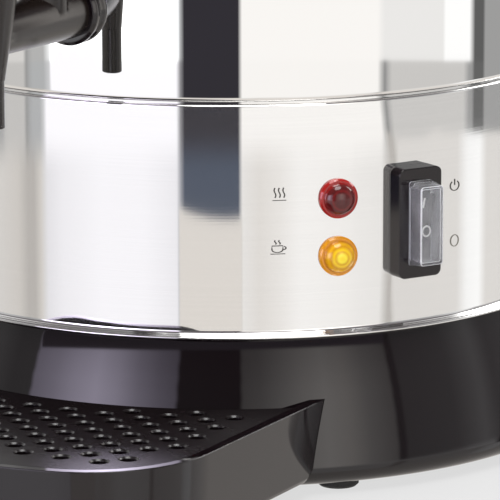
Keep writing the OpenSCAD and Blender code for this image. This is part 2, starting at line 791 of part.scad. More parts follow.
// A round bar swept through points, with a ring of sides square to the route at each one.
// The rings start square to the vector up, which no stretch of the route is parallel to.
module sweep(points, r, sides = 8, up = [0.31, 0.17, 1]) {
    last = len(points) - 1;
    rings = [for (i = [0 : last])
        let (t = unit(points[min(i + 1, last)] - points[min(i, last - 1)])
                + unit(points[max(i, 1)] - points[max(i - 1, 0)]), u = cross(up, t), w = cross(t, u))
        for (k = [0 : sides - 1]) let (b = 360 * k / sides)
            points[i] + r * (cos(b) * u / norm(u) + sin(b) * w / norm(w))];
    walls = [for (i = [0 : last - 1], k = [0 : sides - 1])
        [i * sides + k, (i + 1) * sides + k, (i + 1) * sides + (k + 1) % sides, i * sides + (k + 1) % sides]];
    start_face = [for (k = [0 : sides - 1]) k];
    end_face = [for (k = [sides - 1 : -1 : 0]) last * sides + k];
    polyhedron(points = rings, faces = concat(walls, [start_face, end_face]));
}

// A round-wire coil spring from z0 up to z1
module coil(r, wire, turns, z0, z1, per_turn = 18) {
    n = turns * per_turn;
    sweep([for (i = [0 : n]) let (a = 360 * i / per_turn)
        [r * cos(a), r * sin(a), z0 + wire + (z1 - z0 - 2 * wire) * i / n]], wire);
}

module tap_spring() color("silver") translate([0, -tap_r, 0])
    coil(spring_r, spring_wire, spring_turns, seat_z + cup_h + 0.05, bonnet_under - 0.05);

// ---- level gauge ----

module gauge_seal() color("lightgray") translate([0, -gauge_r, seal_z])
    tube(seal_out_r, gauge_tube_r + thread_gap, boss_top - seal_z);

module gauge_glass() color([0.85, 0.92, 0.95, 0.4]) translate([0, -gauge_r, socket_z])
    tube(gauge_tube_r, gauge_tube_r - gauge_wall, shield_top - 4 - socket_z);

module gauge_shield() color([0.08, 0.08, 0.085]) difference() {
    union() {
        translate([0, -gauge_r, boss_top]) cylinder(r = shield_r, h = shield_top - boss_top);
        translate([-arm_h / 2, -gauge_r, arm_z]) cube([arm_h, gauge_reach + 2, arm_h]);
    }
    translate([0, -gauge_r, boss_top - 1])
        cylinder(r = shield_r - shield_wall, h = shield_top - boss_top + 2);
    translate([-window_w / 2, -gauge_r - 20, boss_top + 14])
        cube([window_w, 20, shield_top - boss_top - 40]);
    on_wall(0, arm_z + arm_h / 2) translate([0, 0, -3]) cylinder(r = gauge_screw_r + thread_gap, h = 13);
    body_core();
}

module gauge_cap() color([0.07, 0.07, 0.075]) translate([0, -gauge_r, 0]) difference() {
    union() {
        translate([0, 0, shield_top]) cylinder(r = shield_r, h = 3);
        translate([0, 0, shield_top + 3]) cylinder(r1 = shield_r, r2 = 5, h = 3);
        translate([0, 0, shield_top - 4]) cylinder(r = gauge_tube_r - gauge_wall, h = 4 + eps);
    }
    translate([0, 0, shield_top - 5]) cylinder(r = 1.5, h = 13);
}

module gauge_screw() color("silver") on_wall(0, arm_z + arm_h / 2) {
    translate([0, 0, -tank_wall - 3]) cylinder(r = 3.8, h = 3 - 0.1);
    translate([0, 0, -tank_wall - 0.2]) cylinder(r = gauge_screw_r, h = 9.5);
}

// ---- side handles ----

// A point of the grip bar's bend, from side * arm at t = 0 to the grip at t = 90
function bend(side, t) =
    [side * (handle_span / 2 - handle_bend * (1 - cos(t))), 0, handle_out - handle_bend * (1 - sin(t))];

// The round grip bar's route: out along one arm, over, and back along the other
handle_path = concat([[-handle_span / 2, 0, -2]], [for (t = [0 : 10 : 90]) bend(-1, t)],
    [for (t = [90 : -10 : 0]) bend(1, t)], [[handle_span / 2, 0, -2]]);

module handle(side) color([0.06, 0.06, 0.065]) difference() {
    on_wall(90 * side, handle_z) {
        sweep(handle_path, grip_r, 24, [0, 1, 0]);
        for (u = [-1, 1]) translate([u * handle_span / 2, 0, -12])
            rounded_plate(handle_foot, handle_foot, handle_foot_r, 12 + handle_foot_n);
    }
    body_core(body_r + bracket_gap);
    on_wall(90 * side, handle_z) for (u = [-1, 1]) translate([u * handle_span / 2, 0, 0]) {
        translate([0, 0, -20]) linear_extrude(height = 20 + bracket_n + bracket_gap)
            square(2 * (bracket_half + bracket_gap), center = true);
        translate([0, 0, handle_screw_n]) rotate([90, 0, 0])
            cylinder(r = handle_screw_r + slip, h = handle_foot);
        translate([0, screw_head_h + 0.6 - handle_foot / 2, handle_screw_n]) rotate([90, 0, 0])
            cylinder(r = screw_head_r + loose, h = 10);
    }
}

module left_handle() handle(-1);
module right_handle() handle(1);

module handle_brackets() color("silver") for (side = [-1, 1]) difference() {
    on_wall(90 * side, handle_z) for (u = [-1, 1]) translate([u * handle_span / 2, 0, -14])
        linear_extrude(height = 14 + bracket_n) square(2 * bracket_half, center = true);
    body_core();
    on_wall(90 * side, handle_z) for (u = [-1, 1]) translate([u * handle_span / 2, 0, handle_screw_n])
        rotate([90, 0, 0]) cylinder(r = handle_screw_r + thread_gap, h = 30, center = true);
}

module handle_screws() color("silver") for (side = [-1, 1], u = [-1, 1]) on_wall(90 * side, handle_z)
    translate([u * handle_span / 2, 0, handle_screw_n]) rotate([90, 0, 0]) {
        head_y = handle_foot / 2 - screw_head_h - 0.6;
        translate([0, 0, -handle_screw_in]) cylinder(r = handle_screw_r, h = handle_screw_in + head_y);
        translate([0, 0, head_y]) cylinder(r = screw_head_r, h = screw_head_h);
    }

// ---- lid ----

module lid() color("gainsboro") difference() {
    rotate_extrude($fn = 180) polygon(concat(
        [[lid_skirt_r - lid_t, lid_seat - lid_skirt_h], [lid_skirt_r, lid_seat - lid_skirt_h],
         [lid_skirt_r, lid_seat]],
        arc(lid_edge_r - 1, lid_seat + 1, 1, -90, 90, 8),
        [[lid_skirt_r, lid_seat + 2 * lid_t]],
        dome_points(0),
        [[0, lid_top], [0, lid_top - lid_t]],
        [for (i = [20 : -1 : 0]) dome_points(lid_t)[i]],
        [[lid_skirt_r - lid_t, lid_seat - 0.5]]));
    translate([0, 0, lid_top - 5]) cylinder(r = knob_screw_r + slip, h = 10);
    for (a = [150, 180, 210]) around(lid_dome_r - 35, a, lid_seat) cylinder(r = 1.8, h = lid_rise + 10);
}

module knob_washer() color([0.1, 0.1, 0.1]) translate([0, 0, lid_top])
    tube(washer_r, knob_screw_r + slip, washer_t);

module lid_knob() color([0.06, 0.06, 0.06]) translate([0, 0, knob_z]) difference() {
    rotate_extrude() polygon(concat(
        [[0, 0], [12, 0], [10, 3]],
        arc(knob_d / 2 - 6, knob_h - 8, 6, -60, 60, 8),
        [[knob_d / 4, knob_h - 0.8], [0, knob_h]]));
    translate([0, 0, -1]) cylinder(r = knob_screw_r + thread_gap, h = 14);
}

module knob_screw() color("silver") {
    translate([0, 0, lid_top - lid_t - 2.5]) cylinder(r = 5, h = 2.5);
    translate([0, 0, lid_top - lid_t - eps]) cylinder(r = knob_screw_r, h = lid_t + washer_t + 12);
}

// ---- brewing set ----

module pump_tube() color("silver") {
    translate([0, 0, pump_low]) tube(pump_r, pump_r - pump_wall, pump_top - pump_low);
    translate([0, 0, basket_z - 3]) difference() {
        cylinder(r = sleeve_out + 1.5, h = 3);
        translate([0, 0, -1]) cylinder(r = pump_r - 0.3, h = 5);
    }
}

module pump_foot() color("silver") difference() {
    rotate_extrude() polygon([
        [0, well_top], [pump_foot_d / 2 - 3, well_top], [pump_foot_d / 2, well_top + 2],
        [pump_foot_d / 2 - 3, well_top + 7], [pump_r + 5, foot_neck_z - 3], [pump_r + 1.4, foot_neck_z],
        [pump_r + 1.4, foot_neck_z + foot_neck_h], [0, foot_neck_z + foot_neck_h]]);
    translate([0, 0, pump_low]) cylinder(r = pump_r + 0.02, h = 60);
    translate([0, 0, valve_z]) cylinder(r = valve_r + 1, h = valve_t + valve_hop + 0.5 + eps);
    translate([0, 0, well_top - 1]) cylinder(r = valve_r - 2.5, h = 10);
    for (a = [0 : 90 : 270]) rotate([0, 0, a]) translate([-2.5, 4, well_top - 1]) cube([5, 30, 2]);
}

module pump_valve() color("silver") translate([0, 0, valve_z + 0.05]) cylinder(r = valve_r, h = valve_t);

module coffee_basket() color("lightgray") difference() {
    rotate_extrude($fn = 120) polygon([
        [sleeve_in, basket_z], [basket_r - 4, basket_z], [basket_r, basket_z + 4],
        [basket_r, cover_rim_z], [basket_r - basket_wall, cover_rim_z],
        [basket_r - basket_wall, basket_z + 4.2], [basket_r - 4.2, basket_z + basket_wall],
        [sleeve_out, basket_z + basket_wall], [sleeve_out, cover_rim_z - 6], [sleeve_in, cover_rim_z - 6]]);
    for (ring = [0 : 4]) {
        r = sleeve_out + 9 + ring * 12;
        count = 8 + 6 * ring;
        for (i = [0 : count - 1]) rotate([0, 0, 360 / count * i]) translate([r, 0, basket_z - 1])
            cylinder(r = 1.3, h = 4, $fn = 16);
    }
}

module basket_cover() color("lightgray") difference() {
    rotate_extrude($fn = 120) polygon([
        [sleeve_in, cover_rim_z + 0.05], [basket_r + 0.4, cover_rim_z + 0.05],
        [basket_r + 0.4, cover_rim_z - 5], [basket_r + 1.2, cover_rim_z - 5],
        [basket_r + 1.2, cover_rim_z + 5], [basket_r + 0.2, cover_rim_z + 5],
        [basket_r - 0.6, cover_rim_z + 1.05], [sleeve_in, cover_rim_z + 1.05]]);
    for (ring = [0 : 3]) {
        r = sleeve_out + 12 + ring * 14;
        count = 8 + 8 * ring;
        for (i = [0 : count - 1]) rotate([0, 0, 360 / count * i]) translate([r, 0, cover_rim_z - 1])
            cylinder(r = 1.2, h = 4, $fn = 16);
    }
}

// ---- heating ----

module heat_plate() color("silver") translate([0, 0, heat_plate_z])
    tube(heat_plate_r, plate_in_r, heat_plate_t);

// A sheathed heater ring under the heat plate, open towards the back, with its two cold ends
module heater(ring_r, d) {
    z = heat_plate_z - d / 2;
    start = heater_mid + heater_gap / 2 - 90;
    rotate([0, 0, start]) translate([0, 0, z])
        rotate_extrude(angle = 360 - heater_gap) translate([ring_r, 0]) circle(d = d);
    for (s = [-1, 1]) rotate([0, 0, heater_mid + s * heater_gap / 2]) translate([0, -ring_r, 0]) {
        translate([0, 0, z - pin_drop_z]) cylinder(d = d + 1, h = pin_drop_z + d / 2);
        translate([0, 0, z - pin_drop_z]) rotate([0, 0, 90]) tab();
    }
}

module main_heater() color("dimgray") heater(main_heater_ring, main_heater_d);
module keep_warm_heater() color("dimgray") heater(warm_heater_ring, warm_heater_d);

module sensor(angle) around(sensor_ring_r, angle, heat_plate_z - sensor_h) {
    cylinder(r = sensor_r, h = sensor_h);
    for (y = [-1, 1]) translate([0, y * sensor_tab_u, 0]) tab();
}

module thermostat() color([0.15, 0.15, 0.15]) sensor(heater_mid - sensor_spread);
module thermal_cutout() color([0.85, 0.83, 0.78]) sensor(heater_mid + sensor_spread);

module sensor_bracket() color("silver") {
    half_w = sensor_ring_r * sin(sensor_spread) + sensor_r + 2;
    y = sensor_ring_r * cos(sensor_spread);
    translate([-half_w, y - strap_w / 2, heat_plate_z - sensor_h - strap_t]) {
        cube([2 * half_w, strap_w, strap_t]);
        for (x = [0, 2 * half_w - strap_t]) translate([x, 0, 0]) cube([strap_t, strap_w, sensor_h + strap_t]);
    }
}

// ---- lamps ----

module lamp_lens(z) difference() {
    on_wall(lamp_angle, z) rotate_extrude() polygon(concat(
        [[0, -1], [lamp_d / 2, -1], [lamp_d / 2, lamp_flange_t - 0.6], [lamp_d / 2 - 0.6, lamp_flange_t],
         [lamp_dome_r, lamp_flange_t]],
        [for (t = [0 : 10 : 90]) [lamp_dome_r * cos(t), lamp_flange_t + lamp_dome_h * sin(t)]]));
    body_core();
    on_wall(lamp_angle, z) translate([0, 0, -10]) cylinder(r = lamp_body_r - 0.8, h = 11);
}

module heating_lamp_lens() color([0.5, 0.05, 0.05]) lamp_lens(heating_lamp_z);
module keep_warm_lamp_lens() color([0.9, 0.6, 0.05]) lamp_lens(keep_warm_lamp_z);

module lamp_body(z) on_wall(lamp_angle, z) {
    difference() {
        translate([0, 0, -lamp_depth]) cylinder(r = lamp_body_r, h = lamp_depth - 0.4);
        translate([0, 0, -lamp_depth + 6]) cylinder(r = lamp_body_r - 1.2, h = lamp_depth);
    }
    translate([0, 0, -lamp_depth + 5.9]) cylinder(r = 2.4, h = lamp_depth - 7);
    for (y = [-1, 1]) translate([0, y * lamp_tab_y, -lamp_depth]) tab();
}

module heating_lamp_body() color("ivory") lamp_body(heating_lamp_z);
module keep_warm_lamp_body() color("ivory") lamp_body(keep_warm_lamp_z);

module lamp_nuts() color("silver") for (z = [heating_lamp_z, keep_warm_lamp_z])
    on_wall(lamp_angle, z) translate([0, 0, -band_wall - 0.5 - lamp_nut_t])
        tube(7.6, lamp_body_r + thread_gap, lamp_nut_t);

// ---- switch ----

// The switch's own frame: x along the wall, y up, z out, with z = 0 on the bezel's face
module on_switch() {
    on_wall(switch_angle, switch_z) translate([0, 0, switch_out]) children();
}

module switch_housing() color([0.06, 0.06, 0.065]) difference() {
    union() {
        difference() {
            on_switch() translate([0, 0, -switch_out - 4])
                rounded_plate(switch_w, switch_h, corner_r, switch_out + 4);
            body_core();
        }
        on_switch() translate([0, 0, -housing_depth]) linear_extrude(height = housing_depth - 1)
            square([body_w_in, body_h_in], center = true);
    }
    on_switch() translate([-well_w / 2, -well_l / 2, -10]) cube([well_w, well_l, 20]);
    on_switch() translate([0, 0, rocker_pin_n]) bar_x(rocker_pin_r + running, well_w + 3);
}

module switch_rocker() color([0.08, 0.08, 0.085]) on_switch() translate([0, 0, rocker_pin_n]) {
    rotate([rocker_tilt, 0, 0]) translate([-rocker_w / 2, 0, 0]) rotate([90, 0, 90])
        linear_extrude(height = rocker_w) polygon([
            [-rocker_l / 2, 3.8], [0, 3.8 - rocker_dip], [rocker_l / 2, 3.8], [rocker_l / 2, 2.2],
            [4, -3.5], [-4, -3.5], [-rocker_l / 2, 2.2]]);
    bar_x(rocker_pin_r, well_w + 2.4);
}

module switch_cover() color([0.9, 0.9, 0.9, 0.3]) on_switch() difference() {
    hull() {
        rounded_plate(cover_w, cover_h, 1, eps, $fn = 32);
        translate([0, 0, cover_out - 1]) rounded_plate(cover_w - 0.4, cover_h - 2, 1, 1, $fn = 32);
    }
    translate([0, 0, -1]) rounded_plate(cover_w - 2 * cover_wall, cover_h - 2 * cover_wall - 2, 0.6,
        cover_out - cover_wall + 1);
}

module switch_tabs() color("silver") on_switch() for (y = [-switch_tab_y, 0, switch_tab_y])
    translate([0, y, -housing_depth]) tab();

// ---- power inlet ----

module on_inlet() {
    on_wall(180, inlet_z) children();
}

module power_inlet() color([0.08, 0.08, 0.085]) difference() {
    union() {
        difference() {
            on_inlet() translate([0, 0, -4])
                rounded_plate(inlet_flange_w, inlet_flange_h, 2.5, 4 + inlet_flange_t);
            body_core();
        }
        on_inlet() translate([0, 0, -inlet_depth]) linear_extrude(height = inlet_depth)
            square([inlet_w, inlet_h], center = true);
    }
    on_inlet() translate([0, 0, inlet_flange_t - inlet_cavity_depth]) linear_extrude(height = 30) polygon([
        [-inlet_cavity_w / 2, -inlet_cavity_h / 2], [inlet_cavity_w / 2, -inlet_cavity_h / 2],
        [inlet_cavity_w / 2, inlet_cavity_h / 2 - 5], [inlet_cavity_w / 2 - 5, inlet_cavity_h / 2],
        [-inlet_cavity_w / 2 + 5, inlet_cavity_h / 2], [-inlet_cavity_w / 2, inlet_cavity_h / 2 - 5]]);
    for (p = inlet_pin_places) on_inlet() translate([p[0], p[1], -inlet_depth - 1])
        linear_extrude(height = 30) square([inlet_pin_t, inlet_pin_w], center = true);
}

module inlet_pins() color("silver") for (p = inlet_pin_places)
    on_inlet() translate([p[0], p[1], -inlet_depth - 8]) linear_extrude(height = inlet_depth + 6)
        square([inlet_pin_t, inlet_pin_w], center = true);

// ---- wires ----

// A point given by radius, angle from the tap and height
function polar(r, angle, z) = [r * sin(angle), -r * cos(angle), z];

module lead(points) {
    sweep(points, wire_r);
}

module wires() color("firebrick") {
    inlet_u = 7 / inlet_tail * 180 / PI;
    // inlet to switch
    lead([polar(inlet_tail, 180 - inlet_u, inlet_z - 2), polar(70, 170, 60), polar(70, 80, 60),
        polar(switch_tail, switch_angle, switch_z - switch_tab_y)]);
    // inlet to the keep-warm heater, and on to the main heater
    lead([polar(inlet_tail, 180 + inlet_u, inlet_z - 2), polar(64, 190, 48), polar(60, 230, 48),
        polar(warm_heater_ring, heater_end_b, heater_tail)]);
    lead([for (r = [warm_heater_ring, main_heater_ring]) polar(r, heater_end_b, heater_tail + 3.5)]);
    // switch to the thermal cutout, the thermostat and the main heater
    lead([polar(switch_tail, switch_angle, switch_z + switch_tab_y), polar(62, 80, 92), polar(50, 215, 92),
        polar(tab_out, cutout_angle, sensor_tail - 8), polar(tab_out, cutout_angle, sensor_tail)]);
    lead([for (p = [[cutout_angle, 0], [cutout_angle, 8], [thermostat_angle, 8], [thermostat_angle, 0]])
        polar(tab_in, p[0], sensor_tail - p[1])]);
    lead([for (p = [[tab_out, thermostat_angle, sensor_tail], [tab_out, thermostat_angle, sensor_tail - 8],
        [main_heater_ring, heater_end_a, heater_tail - 6], [main_heater_ring, heater_end_a, heater_tail]])
        polar(p[0], p[1], p[2])]);
    // upper lamp to the switch, and lower lamp to the upper one
    lead([polar(lamp_tail, lamp_angle, heating_lamp_z + lamp_tab_y),
        polar(66, lamp_angle + 5, heating_lamp_z), polar(66, lamp_angle + 9, switch_z),
        polar(switch_tail, switch_angle, switch_z)]);
    lead([polar(lamp_tail, lamp_angle, heating_lamp_z - lamp_tab_y),
        polar(lamp_tail - 6, lamp_angle, (heating_lamp_z + keep_warm_lamp_z) / 2),
        polar(lamp_tail, lamp_angle, keep_warm_lamp_z + lamp_tab_y)]);
}

tank();
control_band();
base();
bottom_plate();
tie_rods();
tie_nuts();
rubber_feet();
drip_tray();
tray_feet();
drip_grille();
tap_flange();
tap_body();
tap_seal();
tap_nut();
tap_bonnet();
tap_lever();
tap_pin();
tap_stem();
seat_cup();
tap_spring();
gauge_seal();
gauge_glass();
gauge_shield();
gauge_cap();
gauge_screw();
left_handle();
right_handle();
handle_brackets();
handle_screws();
lid();
lid_knob();
knob_washer();
knob_screw();
pump_tube();
pump_foot();
pump_valve();
coffee_basket();
basket_cover();
heat_plate();
main_heater();
keep_warm_heater();
thermostat();
thermal_cutout();
sensor_bracket();
heating_lamp_lens();
keep_warm_lamp_lens();
heating_lamp_body();
keep_warm_lamp_body();
lamp_nuts();
switch_housing();
switch_rocker();
switch_cover();
switch_tabs();
power_inlet();
inlet_pins();
wires();
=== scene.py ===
"""Looks of a coffee urn with a lever tap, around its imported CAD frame."""
import json
import math

import bpy
from mathutils import Matrix, Vector


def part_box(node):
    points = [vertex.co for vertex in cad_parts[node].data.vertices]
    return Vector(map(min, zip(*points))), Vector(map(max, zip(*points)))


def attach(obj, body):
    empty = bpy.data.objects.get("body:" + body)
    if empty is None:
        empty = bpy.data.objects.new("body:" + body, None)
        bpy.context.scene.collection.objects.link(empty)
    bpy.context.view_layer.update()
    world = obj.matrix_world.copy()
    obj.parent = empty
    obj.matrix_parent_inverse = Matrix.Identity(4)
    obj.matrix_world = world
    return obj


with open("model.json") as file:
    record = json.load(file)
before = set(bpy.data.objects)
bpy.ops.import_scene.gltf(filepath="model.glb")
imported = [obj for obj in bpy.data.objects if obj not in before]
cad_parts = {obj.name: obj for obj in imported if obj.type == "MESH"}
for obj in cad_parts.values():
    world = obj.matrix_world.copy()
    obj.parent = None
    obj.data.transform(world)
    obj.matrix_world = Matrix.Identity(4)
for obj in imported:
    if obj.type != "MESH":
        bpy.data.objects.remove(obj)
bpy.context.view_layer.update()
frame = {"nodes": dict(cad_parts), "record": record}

nodes = frame["nodes"]
MM = 0.001

# ---- camera: azimuths round the urn count from the tap, towards +X ----
CAMERA_AZIMUTH = 26.5
CAMERA_DISTANCE = 1.495
CAMERA_HEIGHT = 0.3765
CAMERA_PITCH = 12.05
CAMERA_YAW = 0.27
CAMERA_ROLL = -0.12
CAMERA_LENS = 308.66


def make_camera():
    """The camera, at the height, distance and pitch of the view."""
    data = bpy.data.cameras.new("camera")
    data.lens = CAMERA_LENS
    data.sensor_width = 36
    data.clip_end = 50
    camera = bpy.data.objects.new("camera", data)
    bpy.context.scene.collection.objects.link(camera)
    azimuth = math.radians(CAMERA_AZIMUTH)
    place = Vector((math.sin(azimuth), -math.cos(azimuth), 0)) * CAMERA_DISTANCE
    place.z = CAMERA_HEIGHT
    heading = Matrix.Rotation(math.radians(CAMERA_AZIMUTH - CAMERA_YAW), 4, "Z")
    tilt = Matrix.Rotation(math.radians(90 - CAMERA_PITCH), 4, "X")
    roll = Matrix.Rotation(math.radians(CAMERA_ROLL), 4, "Z")
    camera.matrix_world = Matrix.Translation(place) @ heading @ tilt @ roll
    bpy.context.scene.camera = camera


# ---- node graphs ----
class Graph:
    """Short calls that build a node tree. A value may be a number, a colour or a socket."""

    def __init__(self, tree, clear=True):
        self.tree = tree
        if clear:
            tree.nodes.clear()

    def node(self, kind, **settings):
        made = self.tree.nodes.new(kind)
        for key, value in settings.items():
            setattr(made, key, value)
        return made

    def put(self, socket, value):
        if isinstance(value, bpy.types.NodeSocket):
            self.tree.links.new(value, socket)
        elif isinstance(value, (tuple, list)) and len(value) == 3 and socket.type == "RGBA":
            socket.default_value = (*value, 1)
        else:
            socket.default_value = value

    def math(self, operation, *values, clamp=False):
        made = self.node("ShaderNodeMath", operation=operation, use_clamp=clamp)
        for socket, value in zip(made.inputs, values):
            self.put(socket, value)
        return made.outputs[0]

    def vector(self, operation, *values):
        made = self.node("ShaderNodeVectorMath", operation=operation)
        for socket, value in zip(made.inputs, values):
            self.put(socket, value)
        return made.outputs["Value" if operation in ("DOT_PRODUCT", "LENGTH") else "Vector"]

    def mix(self, share, a, b, blend="MIX"):
        made = self.node("ShaderNodeMix", data_type="RGBA", blend_type=blend)
        for key, value in (("Factor_Float", share), ("A_Color", a), ("B_Color", b)):
            self.put(next(s for s in made.inputs if s.identifier == key), value)
        return next(s for s in made.outputs if s.identifier == "Result_Color")

    def step(self, value, low, high):
        """0 below low, 1 above high and smooth between them."""
        made = self.node("ShaderNodeMapRange", interpolation_type="SMOOTHSTEP")
        for key, v in (("Value", value), ("From Min", low), ("From Max", high)):
            self.put(made.inputs[key], v)
        return made.outputs[0]

    def bow(self, value, middle, amount):
        """amount times the squared distance of value from middle."""
        away = self.math("SUBTRACT", value, middle)
        return self.math("MULTIPLY", self.math("POWER", away, 2), amount)

    def noise(self, vector, scale, detail=3, roughness=0.5):
        made = self.node("ShaderNodeTexNoise")
        for key, v in (("Vector", vector), ("Scale", scale), ("Detail", detail), ("Roughness", roughness)):
            self.put(made.inputs[key], v)
        return made.outputs["Fac"]

    def place(self):
        """Object coordinates in metres."""
        return self.node("ShaderNodeTexCoord").outputs["Object"]

    def stretched(self, scale):
        """Object coordinates multiplied by scale along x, y and z."""
        made = self.node("ShaderNodeMapping")
        self.put(made.inputs["Vector"], self.place())
        made.inputs["Scale"].default_value = scale
        return made.outputs[0]

    def ramp(self, value, stops, kind="LINEAR"):
        """A colour for each value: stops are (value from 0 to 1, colour), in order."""
        made = self.node("ShaderNodeValToRGB")
        made.color_ramp.interpolation = kind
        self.put(made.inputs[0], value)
        marks = made.color_ramp.elements
        for mark, (position, colour) in zip(marks, (stops[0], stops[-1])):
            mark.position, mark.color = position, (*colour, 1)
        for position, colour in stops[1:-1]:
            marks.new(position).color = (*colour, 1)
        return made.outputs[0]


# ---- studio: angles in degrees, azimuths counted from the camera's side, towards its right ----
def grey(level, warm=0.0):
    """A light grey, warmer in colour where warm is above 0 and cooler below."""
    return (level * (1 + warm), level, level * (1 - warm))


def lilac(level):
    """A light with a violet tint."""
    return (level * 1.09, level, level * 1.26)


def pale(level):
    """A light with a faint blue tint."""
    return (level * 1.01, level, level * 1.045)


def turn(angle):
    """An azimuth as a share of the whole turn, from -180 to 180."""
    return (angle + 180) / 360


def turn_of(graph, azimuth):
    """The same share, for an azimuth that comes from a socket."""
    return graph.math("DIVIDE", graph.math("ADD", azimuth, 180), 360)


def zones(graph, azimuth, stops):
    """One flat colour for each zone of azimuth. A stop is (where the zone ends, its colour)."""
    edge, start, places = ZONE_EDGE / 360, 0.0, []
    for end, colour in stops:
        places += [(start, colour), (turn(end) - edge, colour)]
        start = turn(end) + edge
    return graph.ramp(turn_of(graph, azimuth), places)


def slopes(graph, azimuth, stops):
    """Colours that run into each other. A stop is (azimuth, colour)."""
    return graph.ramp(turn_of(graph, azimuth), [(turn(angle), colour) for angle, colour in stops])


# Where the left soft box starts and ends, and the right one
BOXES = (-67.4, -17.0, 3.6, 53.4)
# Half the width of the blur between two zones
ZONE_EDGE = 0.25
# The lower limit of what the tank shows, with a blur above it, and of the strip under that
TANK_LOW = -9.56
LIMIT_BLUR = 0.06
STRIP_LOW = -10.34
# Where the strip has run fully into the band's part on the left, and how much sooner on the right
BLEND_LOW = -10.95
BLEND_RIGHT = 0.48
# The table's edge in the gap: its height in the middle, where that is, and how it bows
TABLE_EDGE = -11.54
TABLE_MIDDLE = -1.0
TABLE_BOW = 0.0006
# The room's top beside the boxes, how much lower the boxes' tops are, their middle and their bow
ROOM_TOP = 30
BOX_TOP_DROP = -5.5
BOX_MIDDLE = 2
BOX_BOW = 6 / 60 ** 2
GAP = (0.040, 0.037, 0.046)
GAP_LOW = (0.085, 0.105, 0.15)
TABLE = grey(0.84, 0.055)
ROOM = grey(0.72, 0.02)
DARK_STRIP = grey(0.14)
ABOVE_BOXES = (0.25, 0.23, 0.27)
CEILING = (0.17, 0.155, 0.16)
OVERHEAD = grey(0.30)
BEHIND = grey(0.90)
RIM_LIGHT = grey(7.0, 0.01)


def upper_front(graph, azimuth):
    """The soft boxes themselves, brightest in their middles, and the dim room beside them."""
    left, gap, middle, right = BOXES
    return slopes(graph, azimuth, [
        (-180, grey(0.6)), (-84, grey(0.62)), (-76, grey(0.42)), (left - 0.8, grey(0.46)),
        (left - 0.2, lilac(1.9)), (-60, lilac(2.7)), (-53, lilac(3.9)), (-45, lilac(4.9)),
        (-38, lilac(4.0)), (-31, lilac(2.5)), (-24, lilac(1.6)), (gap - 0.4, lilac(1.1)),
        (gap + 0.1, grey(0.12)), (middle - 0.1, grey(0.10)), (middle + 0.4, grey(0.75, 0.03)),
        (10, grey(0.95, 0.03)), (17, grey(1.45, 0.03)), (24, grey(2.0, 0.04)), (31, grey(2.35, 0.04)),
        (38, grey(2.0, 0.05)), (45, grey(1.3, 0.03)), (right, grey(0.82, 0.03)),
        (right + 1.2, grey(0.20)), (right + 3.2, grey(0.20)), (right + 4.2, grey(0.42)),
        (76, grey(0.48)), (88, grey(0.85)), (95, grey(0.45)), (120, grey(0.5)), (180, grey(0.6))])


